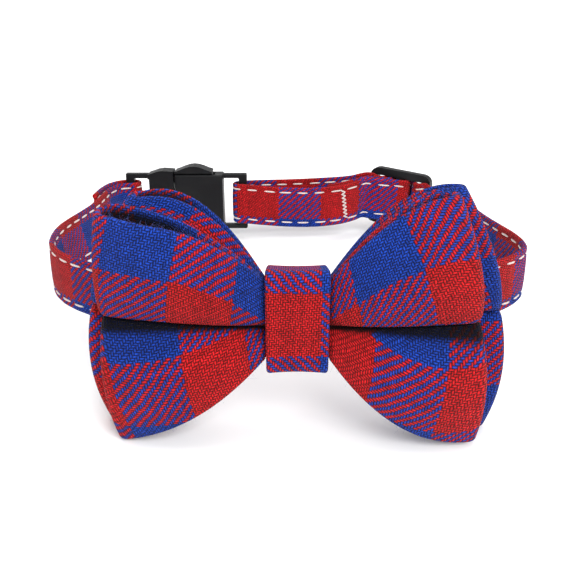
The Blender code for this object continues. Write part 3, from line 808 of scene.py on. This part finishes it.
def smooth_route(keys, per_span=16):
    """A cubic curve through the route's points."""
    keys = keys * (1, 1, 1, math.pi / 180, 1)
    chord = np.linalg.norm(np.diff(keys[:, :2], axis=0), axis=1)
    slopes = np.gradient(keys, np.concatenate([[0.0], np.cumsum(chord)]), axis=0)
    t = (np.arange(per_span) / per_span)[None, :, None]
    a, b = keys[:-1, None], keys[1:, None]
    slope_a = slopes[:-1, None] * chord[:, None, None]
    slope_b = slopes[1:, None] * chord[:, None, None]
    spans = (
        (2 * t**3 - 3 * t**2 + 1) * a
        + (t**3 - 2 * t**2 + t) * slope_a
        + (3 * t**2 - 2 * t**3) * b
        + (t**3 - t**2) * slope_b
    )
    return np.vstack([spans.reshape(-1, keys.shape[1]), keys[-1:]])


class Strap:
    """The strap's middle line at even stations, with its directions: along it, across its width and
    through its thickness, outwards."""

    STEP = 0.42

    def __init__(self):
        fine = smooth_route(strap_route())
        length = run_length(fine[:, :3])
        self.length = length[-1]
        count = int(self.length / self.STEP)
        self.run = np.linspace(0, self.length, count + 1)
        data = np.stack([np.interp(self.run, length, fine[:, k]) for k in range(5)], axis=1)
        self.middle = data[:, :3]
        heading = np.gradient(data[:, :2], axis=0)
        along = unit(np.column_stack([heading, np.zeros(len(heading))]))
        outward = np.column_stack([along[:, 1], -along[:, 0], np.zeros(len(along))])
        lean, droop = data[:, 3:4], data[:, 4:5]
        drooping = np.array([math.cos(SLIDE_TURN), math.sin(SLIDE_TURN), 0]) * math.sin(SLIDE_DROOP)
        across = np.array([0, 0, 1.0]) * np.cos(lean) + outward * np.sin(lean) + drooping * droop
        self.across = unit(across)
        self.in_slide = data[:, 4]
        self.through = unit(np.cross(along, self.across))
        # The middle of the front, under the knot, is where the cloth's columns are counted from.
        near_front = (self.middle[:, 1] < -30) & (np.abs(self.middle[:, 0] - BOW_X) < 2)
        turn = (BUCKLE_AT[0] + BUCKLE_LENGTH / 2 - BAR_INSET - WRAP_RADIUS, BUCKLE_AT[1])
        # Where the strap comes back round the socket's bar and starts its inner run.
        self.socket_turn = self.run[np.argmin(np.linalg.norm(self.middle[:, :2] - turn, axis=1))]
        self.front = self.run[near_front][np.argmin(np.abs(self.middle[near_front, 0] - BOW_X))]

    def at(self, run, width, out):
        """The point at a distance along the strap, up from its middle, and outwards."""
        run = np.asarray(run, float)
        point = [np.interp(run, self.run, self.middle[:, k]) for k in range(3)]
        across = [np.interp(run, self.run, self.across[:, k]) for k in range(3)]
        through = [np.interp(run, self.run, self.through[:, k]) for k in range(3)]
        stack = [p + a * width + t * out for p, a, t in zip(point, across, through)]
        return np.stack(stack, axis=-1)


STITCH_INSET = 1.25
STITCH_PITCH = 4.2
STITCH_LENGTH = 2.8
FACE_STEPS = 22
# The strap's checks lie this much further on along its inner run, past the socket's bar.
INNER_RUN_SLIP = 3.5
# The bar tack's place, and the stretch past the socket's bar in which the strap passes it first.
TACK_X = 14.3
TACK_STRETCH = (5, 32)


def strap_section():
    """The strap's cross-section, once round: (width, out, v) with v down the outer face and round.
    Both faces puff a little between their two sewn lines and dip along them."""
    half_width, half = STRAP_WIDTH / 2, STRAP_THICK / 2
    edge = 0.55  # how far the rounded edges come in from each side
    flat = np.linspace(half_width - edge, -(half_width - edge), FACE_STEPS + 1)
    dip = 0.17 * np.exp(-(((np.abs(flat) - (half_width - STITCH_INSET)) / 0.35) ** 2))
    puff = 0.10 * np.clip(1 - (flat / (half_width - STITCH_INSET)) ** 2, 0, 1)
    out = half - 0.1 - dip + puff
    rounded = np.radians(np.linspace(90, -90, 9))[1:-1]
    bottom = [(-(half_width - edge) - edge * math.cos(a), (half - 0.1) * math.sin(a)) for a in rounded]
    front = list(zip(flat, out))
    section = front + bottom + [(w, -o) for w, o in reversed(front)]
    section += [(-w, -o) for w, o in bottom]
    section = np.array(section)
    closed = np.vstack([section, section[:1]])
    return section, run_length(closed) - edge


def make_strap(strap, material):
    """The strap's cloth: its section at every station, a little wider where the slide spreads it and
    rippled by the stitches, with a flat cap at both ends."""
    section, v = strap_section()
    stations, rows = len(strap.run), len(section)
    wave = 0.05 * np.sin(strap.run * 2 * math.pi / STITCH_PITCH)
    spread = between(1.0, 1.06, strap.in_slide)
    points = (
        strap.middle[:, None]
        + strap.across[:, None] * section[None, :, :1] * spread[:, None, None]
        + strap.through[:, None] * section[None, :, 1:] * (1 + 0.6 * wave[:, None, None])
    )
    c, r = np.meshgrid(np.arange(stations - 1), np.arange(rows), indexing="ij")
    r2 = (r + 1) % rows
    faces = np.stack([c * rows + r, c * rows + r2, (c + 1) * rows + r2, (c + 1) * rows + r], axis=-1)
    slipped = smooth_step(strap.run, strap.socket_turn - 3, strap.socket_turn + 3)
    u = strap.run - strap.front - INNER_RUN_SLIP * slipped
    uvs = np.empty((stations - 1, rows, 4, 2))
    for corner, (dc, dr) in enumerate(((0, 0), (0, 1), (1, 1), (1, 0))):
        uvs[..., corner, 0] = u[c + dc]
        uvs[..., corner, 1] = v[r + dr]
    first = list(range(rows))[::-1]
    last = [(stations - 1) * rows + k for k in range(rows)]
    corner_uvs = uvs.reshape(-1, 2).tolist()
    corner_uvs += [[u[0], section[k, 0]] for k in first] + [[u[-1], section[k, 0]] for k in range(rows)]
    all_faces = faces.reshape(-1, 4).tolist() + [first, last]
    return new_object("strap_cloth", points.reshape(-1, 3), all_faces, material, corner_uvs)


def tube_faces(first, rings, sides):
    """Faces of a closed tube whose rings of points start at the vertex called first."""
    faces = []
    for ring in range(rings - 1):
        for side in range(sides):
            a, b = first + ring * sides + side, first + ring * sides + (side + 1) % sides
            faces.append((a, b, b + sides, a + sides))
    faces.append(tuple(first + k for k in range(sides))[::-1])
    faces.append(tuple(first + (rings - 1) * sides + k for k in range(sides)))
    return faces


def capsule(rings, sides):
    """A unit stitch: along from -1 to 1, with unit cross-section, as (along, sideways, out)."""
    points = []
    for ring in range(rings):
        place = math.cos(math.pi * ring / (rings - 1))
        girth = max(0.08, 1 - abs(place) ** 4) ** 0.5
        for side in range(sides):
            angle = 2 * math.pi * side / sides
            points.append((-place, girth * math.cos(angle), girth * math.sin(angle)))
    return np.array(points), tube_faces(0, rings, sides)


def sewn(name, shape, shape_faces, places, half_length, material):
    """One piece of many stitches: the unit stitch's points, taken to each of its places. The thread's
    coordinates go along each stitch, and round it from -0.5 to 0.5."""
    faces, uvs = [], []
    for start in range(0, len(places) * len(shape), len(shape)):
        for face in shape_faces:
            faces.append([start + k for k in face])
            for along, sideways, out in shape[list(face)]:
                uvs.append((along * half_length, math.atan2(out, sideways) / math.tau))
    return new_object(name, np.concatenate(places), faces, material, uvs)


def make_stitches(strap, material):
    """Cream running stitches, two rows on each face."""
    shape, shape_faces = capsule(rings=7, sides=7)
    places = []
    count = int((strap.length - 2) / STITCH_PITCH)
    for row in (-1, 1):
        for face in (-1, 1):
            phase = 0.5 if face > 0 else 0.5 + STITCH_PITCH / 2
            for k in range(count):
                centre = 1.5 + phase + (k + rng.uniform(-0.05, 0.05)) * STITCH_PITCH
                long = STITCH_LENGTH * rng.uniform(0.88, 1.08)
                slant = rng.normal(0, 0.03)
                run = centre + shape[:, 0] * long / 2
                sunk = 0.13 * shape[:, 0] ** 4
                width = row * (STRAP_WIDTH / 2 - STITCH_INSET) + shape[:, 1] * 0.2 + slant * shape[:, 0]
                out = face * (STRAP_THICK / 2 - 0.17 - sunk + shape[:, 2] * 0.15)
                places.append(strap.at(run, width, out))
    return sewn("strap_stitches", shape, shape_faces, places, STITCH_LENGTH / 2, material)


def make_bar_tack(strap, run, material):
    """A bar tack: thread zigzagged across the strap's width on the face towards the neck."""
    shape, shape_faces = capsule(rings=7, sides=6)
    places = []
    passes = 15
    for k in range(passes):
        share = k / (passes - 1)
        height = between(-3.2, 3.4, share)
        sway = 0.42 if k % 2 else -0.42
        place = run + between(0.3, -0.5, share) + shape[:, 0] * 0.55
        width = height + shape[:, 0] * sway * 0.6 + shape[:, 1] * 0.2
        out = STRAP_THICK / 2 + 0.06 + 0.16 * shape[:, 2] - 0.12 * shape[:, 0] ** 4
        places.append(strap.at(place, width, out))
    return sewn("bar_tack", shape, shape_faces, places, 1.0, material)


# --------------------------------------
# Loose fibres


def make_fibres(name, roots, directions, lengths, radius, material):
    """Fine curved hairs: each starts at a root and bends away from its direction."""
    joints, sides = 5, 3
    points, faces = [], []
    for index, (root, direction, length) in enumerate(zip(roots, directions, lengths)):
        bend = unit(rng.normal(size=3)) * rng.uniform(0.15, 0.6)
        side_a = unit(np.cross(direction, (0.31, 0.52, 0.79)))
        side_b = np.cross(direction, side_a)
        for joint in range(joints):
            share = joint / (joints - 1)
            centre = root + (direction * share + bend * share**2) * length
            girth = radius * (1 - 0.6 * share)
            for side in range(sides):
                angle = math.tau * side / sides
                points.append(centre + (side_a * math.cos(angle) + side_b * math.sin(angle)) * girth)
        faces += tube_faces(index * joints * sides, joints, sides)
    return new_object(name, np.array(points), faces, material)


def bow_fuzz(name, surface, material, count):
    """Hairs along a bow's top and bottom hems and its folded ends."""
    columns, rows = surface.shape[:2]
    roots, directions = [], []
    for _ in range(count):
        column = rng.integers(0, columns)
        kind = rng.random()
        row = rows - 1 if kind < 0.6 else 0 if kind < 0.8 else rng.integers(0, rows)
        root = surface[column, row]
        up = 1.0 if row > rows / 2 else -1.0
        away = np.array([rng.normal(0, 0.5), rng.normal(-0.2, 0.5), up * rng.uniform(0.3, 1.0)])
        if 0 < row < rows - 1:
            away = np.array([np.sign(root[0]), rng.normal(0, 0.5), rng.normal(0, 0.6)])
            if abs(root[0] - BOW_X) < 24:
                continue
        away = unit(away)
        if settle(root + away * 3.0)[0, 2] < 0:
            continue
        roots.append(root)
        directions.append(away)
    lengths = rng.gamma(3.0, 0.16, len(roots)) + 0.45
    return make_fibres(name, roots, directions, lengths, 0.009, material)


# --------------------------------------
# Studio


def place_camera():
    """A camera in front of and above the bow, looking down into the collar."""
    forward = Vector((0, math.cos(CAMERA_PITCH), -math.sin(CAMERA_PITCH)))
    upward = Vector((0, math.sin(CAMERA_PITCH), math.cos(CAMERA_PITCH)))
    data = bpy.data.cameras.new("camera")
    data.sensor_width = SENSOR_WIDTH
    data.lens = FOCAL_LENGTH
    data.clip_start, data.clip_end = 0.005, 20.0
    camera = bpy.data.objects.new("camera", data)
    turn = REST.to_3x3().normalized()
    axes = Matrix((turn @ Vector((1, 0, 0)), turn @ upward, turn @ -forward)).transposed()
    camera.matrix_world = Matrix.Translation(REST @ Vector(CAMERA_AT)) @ axes.to_4x4()
    bpy.context.scene.collection.objects.link(camera)
    bpy.context.scene.camera = camera


def area_light(name, place, size, power):
    """A white panel that faces the collar."""
    data = bpy.data.lights.new(name, "AREA")
    data.shape = "RECTANGLE"
    data.size, data.size_y = size
    data.energy = power
    light = bpy.data.objects.new(name, data)
    light.location = place
    towards = Vector(LIGHT_TARGET) - Vector(place)
    light.rotation_euler = towards.to_track_quat("-Z", "Y").to_euler()
    bpy.context.scene.collection.objects.link(light)


def make_floor(material):
    """A wide floor that curves up into a backdrop far behind the collar."""
    half_width, front, back, radius = 6.0, -4.0, 3.0, 1.5
    profile = [(front, 0.0), (-0.5, 0.0), (0.5, 0.0), (back, 0.0)]
    for step in range(1, 13):
        angle = math.pi / 2 * step / 12
        profile.append((back + radius * math.sin(angle), radius * (1 - math.cos(angle))))
    profile.append((back + radius, 5.0))
    across = (-half_width, -0.5, 0.5, half_width)
    points = [(x, y, z) for y, z in profile for x in across]
    faces = []
    for row in range(len(profile) - 1):
        for column in range(len(across) - 1):
            a = row * len(across) + column
            faces.append((a, a + 1, a + 1 + len(across), a + len(across)))
    mesh = bpy.data.meshes.new("studio_floor")
    mesh.from_pydata(points, [], faces)
    mesh.materials.append(material)
    mesh.shade_smooth()
    floor = bpy.data.objects.new("studio_floor", mesh)
    bpy.context.scene.collection.objects.link(floor)


def light_studio():
    """An even white world, with a key, a fill and a top light."""
    world = bpy.data.worlds.new("studio")
    world.use_nodes = True
    background = world.node_tree.nodes["Background"]
    background.inputs["Color"].default_value = (1.0, 1.0, 1.0, 1.0)
    background.inputs["Strength"].default_value = WORLD_STRENGTH
    bpy.context.scene.world = world
    bpy.context.scene.view_settings.view_transform = "Standard"
    area_light("key", (0.45, -0.65, 0.75), (0.6, 0.45), 9.5)
    area_light("fill", (-0.7, -0.6, 0.45), (0.6, 0.5), 2.5)
    area_light("top", (0.0, 0.15, 0.9), (0.8, 0.8), 6.0)


# --------------------------------------
# The whole scene


def clear_startup_objects():
    """Removes what Blender starts with, and keeps the frame."""
    kept = set(frame["nodes"].values()) | set(frame["bodies"].values())
    for obj in list(bpy.data.objects):
        if obj not in kept:
            bpy.data.objects.remove(obj, do_unlink=True)


def main():
    clear_startup_objects()
    place_camera()
    light_studio()
    make_floor(studio_floor("studio floor"))

    front_cloth = plaid("front bow twill", -29.9, -1.3)
    rear_cloth = plaid("rear bow twill", -31.5, -8.6)
    knot_cloth = plaid("knot twill", 3.5, -6.9, diagonal=-1)
    strap_cloth = plaid("strap twill", 41.0, 7.0)
    cream = thread("cream thread", THREAD_CREAM)
    plastic = moulded_plastic("black acetal")

    front, front_surface = make_bow(
        "bow_front_cloth", FRONT_WINGS, FRONT_PANELS, FRONT_GRAIN, front_cloth,
        crease_push=(0.7, 1.7), shadow=1.0,
    )
    rear, _ = make_bow(
        "bow_rear_cloth", REAR_WINGS, REAR_PANELS, REAR_GRAIN, rear_cloth,
        crease_push=(0.1, 0.8), shadow=0.1,
    )
    knot = make_knot(knot_cloth)
    strap = Strap()
    strap_piece = make_strap(strap, strap_cloth)
    stitches = make_stitches(strap, cream)
    past_turn = strap.run - strap.socket_turn
    inner_run = (past_turn > TACK_STRETCH[0]) & (past_turn < TACK_STRETCH[1])
    tack_run = strap.run[inner_run][np.argmin(np.abs(strap.middle[inner_run, 0] - TACK_X))]
    tack = make_bar_tack(strap, tack_run, cream)
    fibres = bow_fuzz("bow_fibres", front_surface, fuzz("bow fuzz"), 1100)

    cloths = ((front, "bow_front"), (rear, "bow_rear"), (knot, "knot_band"), (strap_piece, "strap"))
    for piece, node in cloths:
        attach(piece, "root")
        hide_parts(node)
        "plaid_strap" if node == "strap" else "plaid_bow"
    for piece in (stitches, tack, fibres):
        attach(piece, "root")
    for node in ("buckle_plug", "buckle_socket", "strap_slide"):
        obj = frame["nodes"][node]
        obj.data.materials.clear()
        obj.data.materials.append(plastic)


main()
